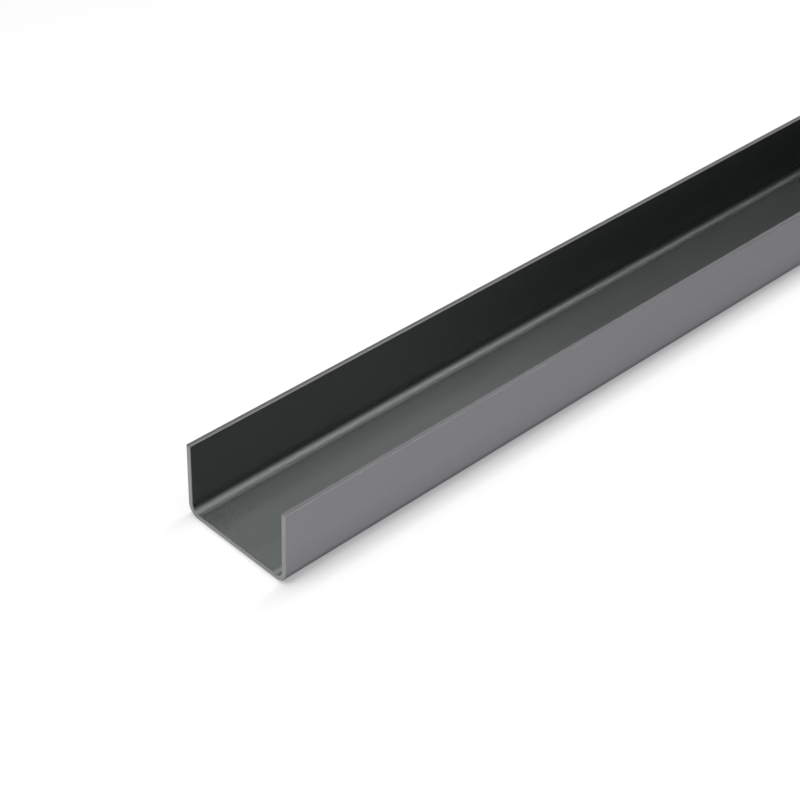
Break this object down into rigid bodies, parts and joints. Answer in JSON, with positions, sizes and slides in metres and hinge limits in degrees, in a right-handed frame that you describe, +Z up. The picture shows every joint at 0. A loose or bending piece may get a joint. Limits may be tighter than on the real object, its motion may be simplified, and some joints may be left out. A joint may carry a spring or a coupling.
{
  "type": "metal channel section",
  "caption": "Straight cold-formed steel channel: a flat web with a flange turned up square along each side, small inside bend radius and plain square-cut ends.",
  "frame": {"origin": "middle of the web's underside, halfway along the length, on the floor it lies on", "axes": "+X along the length, +Y across the web, +Z up out of the open side"},
  "size_m": [1, 0.05, 0.03],
  "materials": {
    "mill_steel": "satin"
  },
  "bodies": {
    "root": {"channel": "mill_steel"}
  },
  "joints": []
}
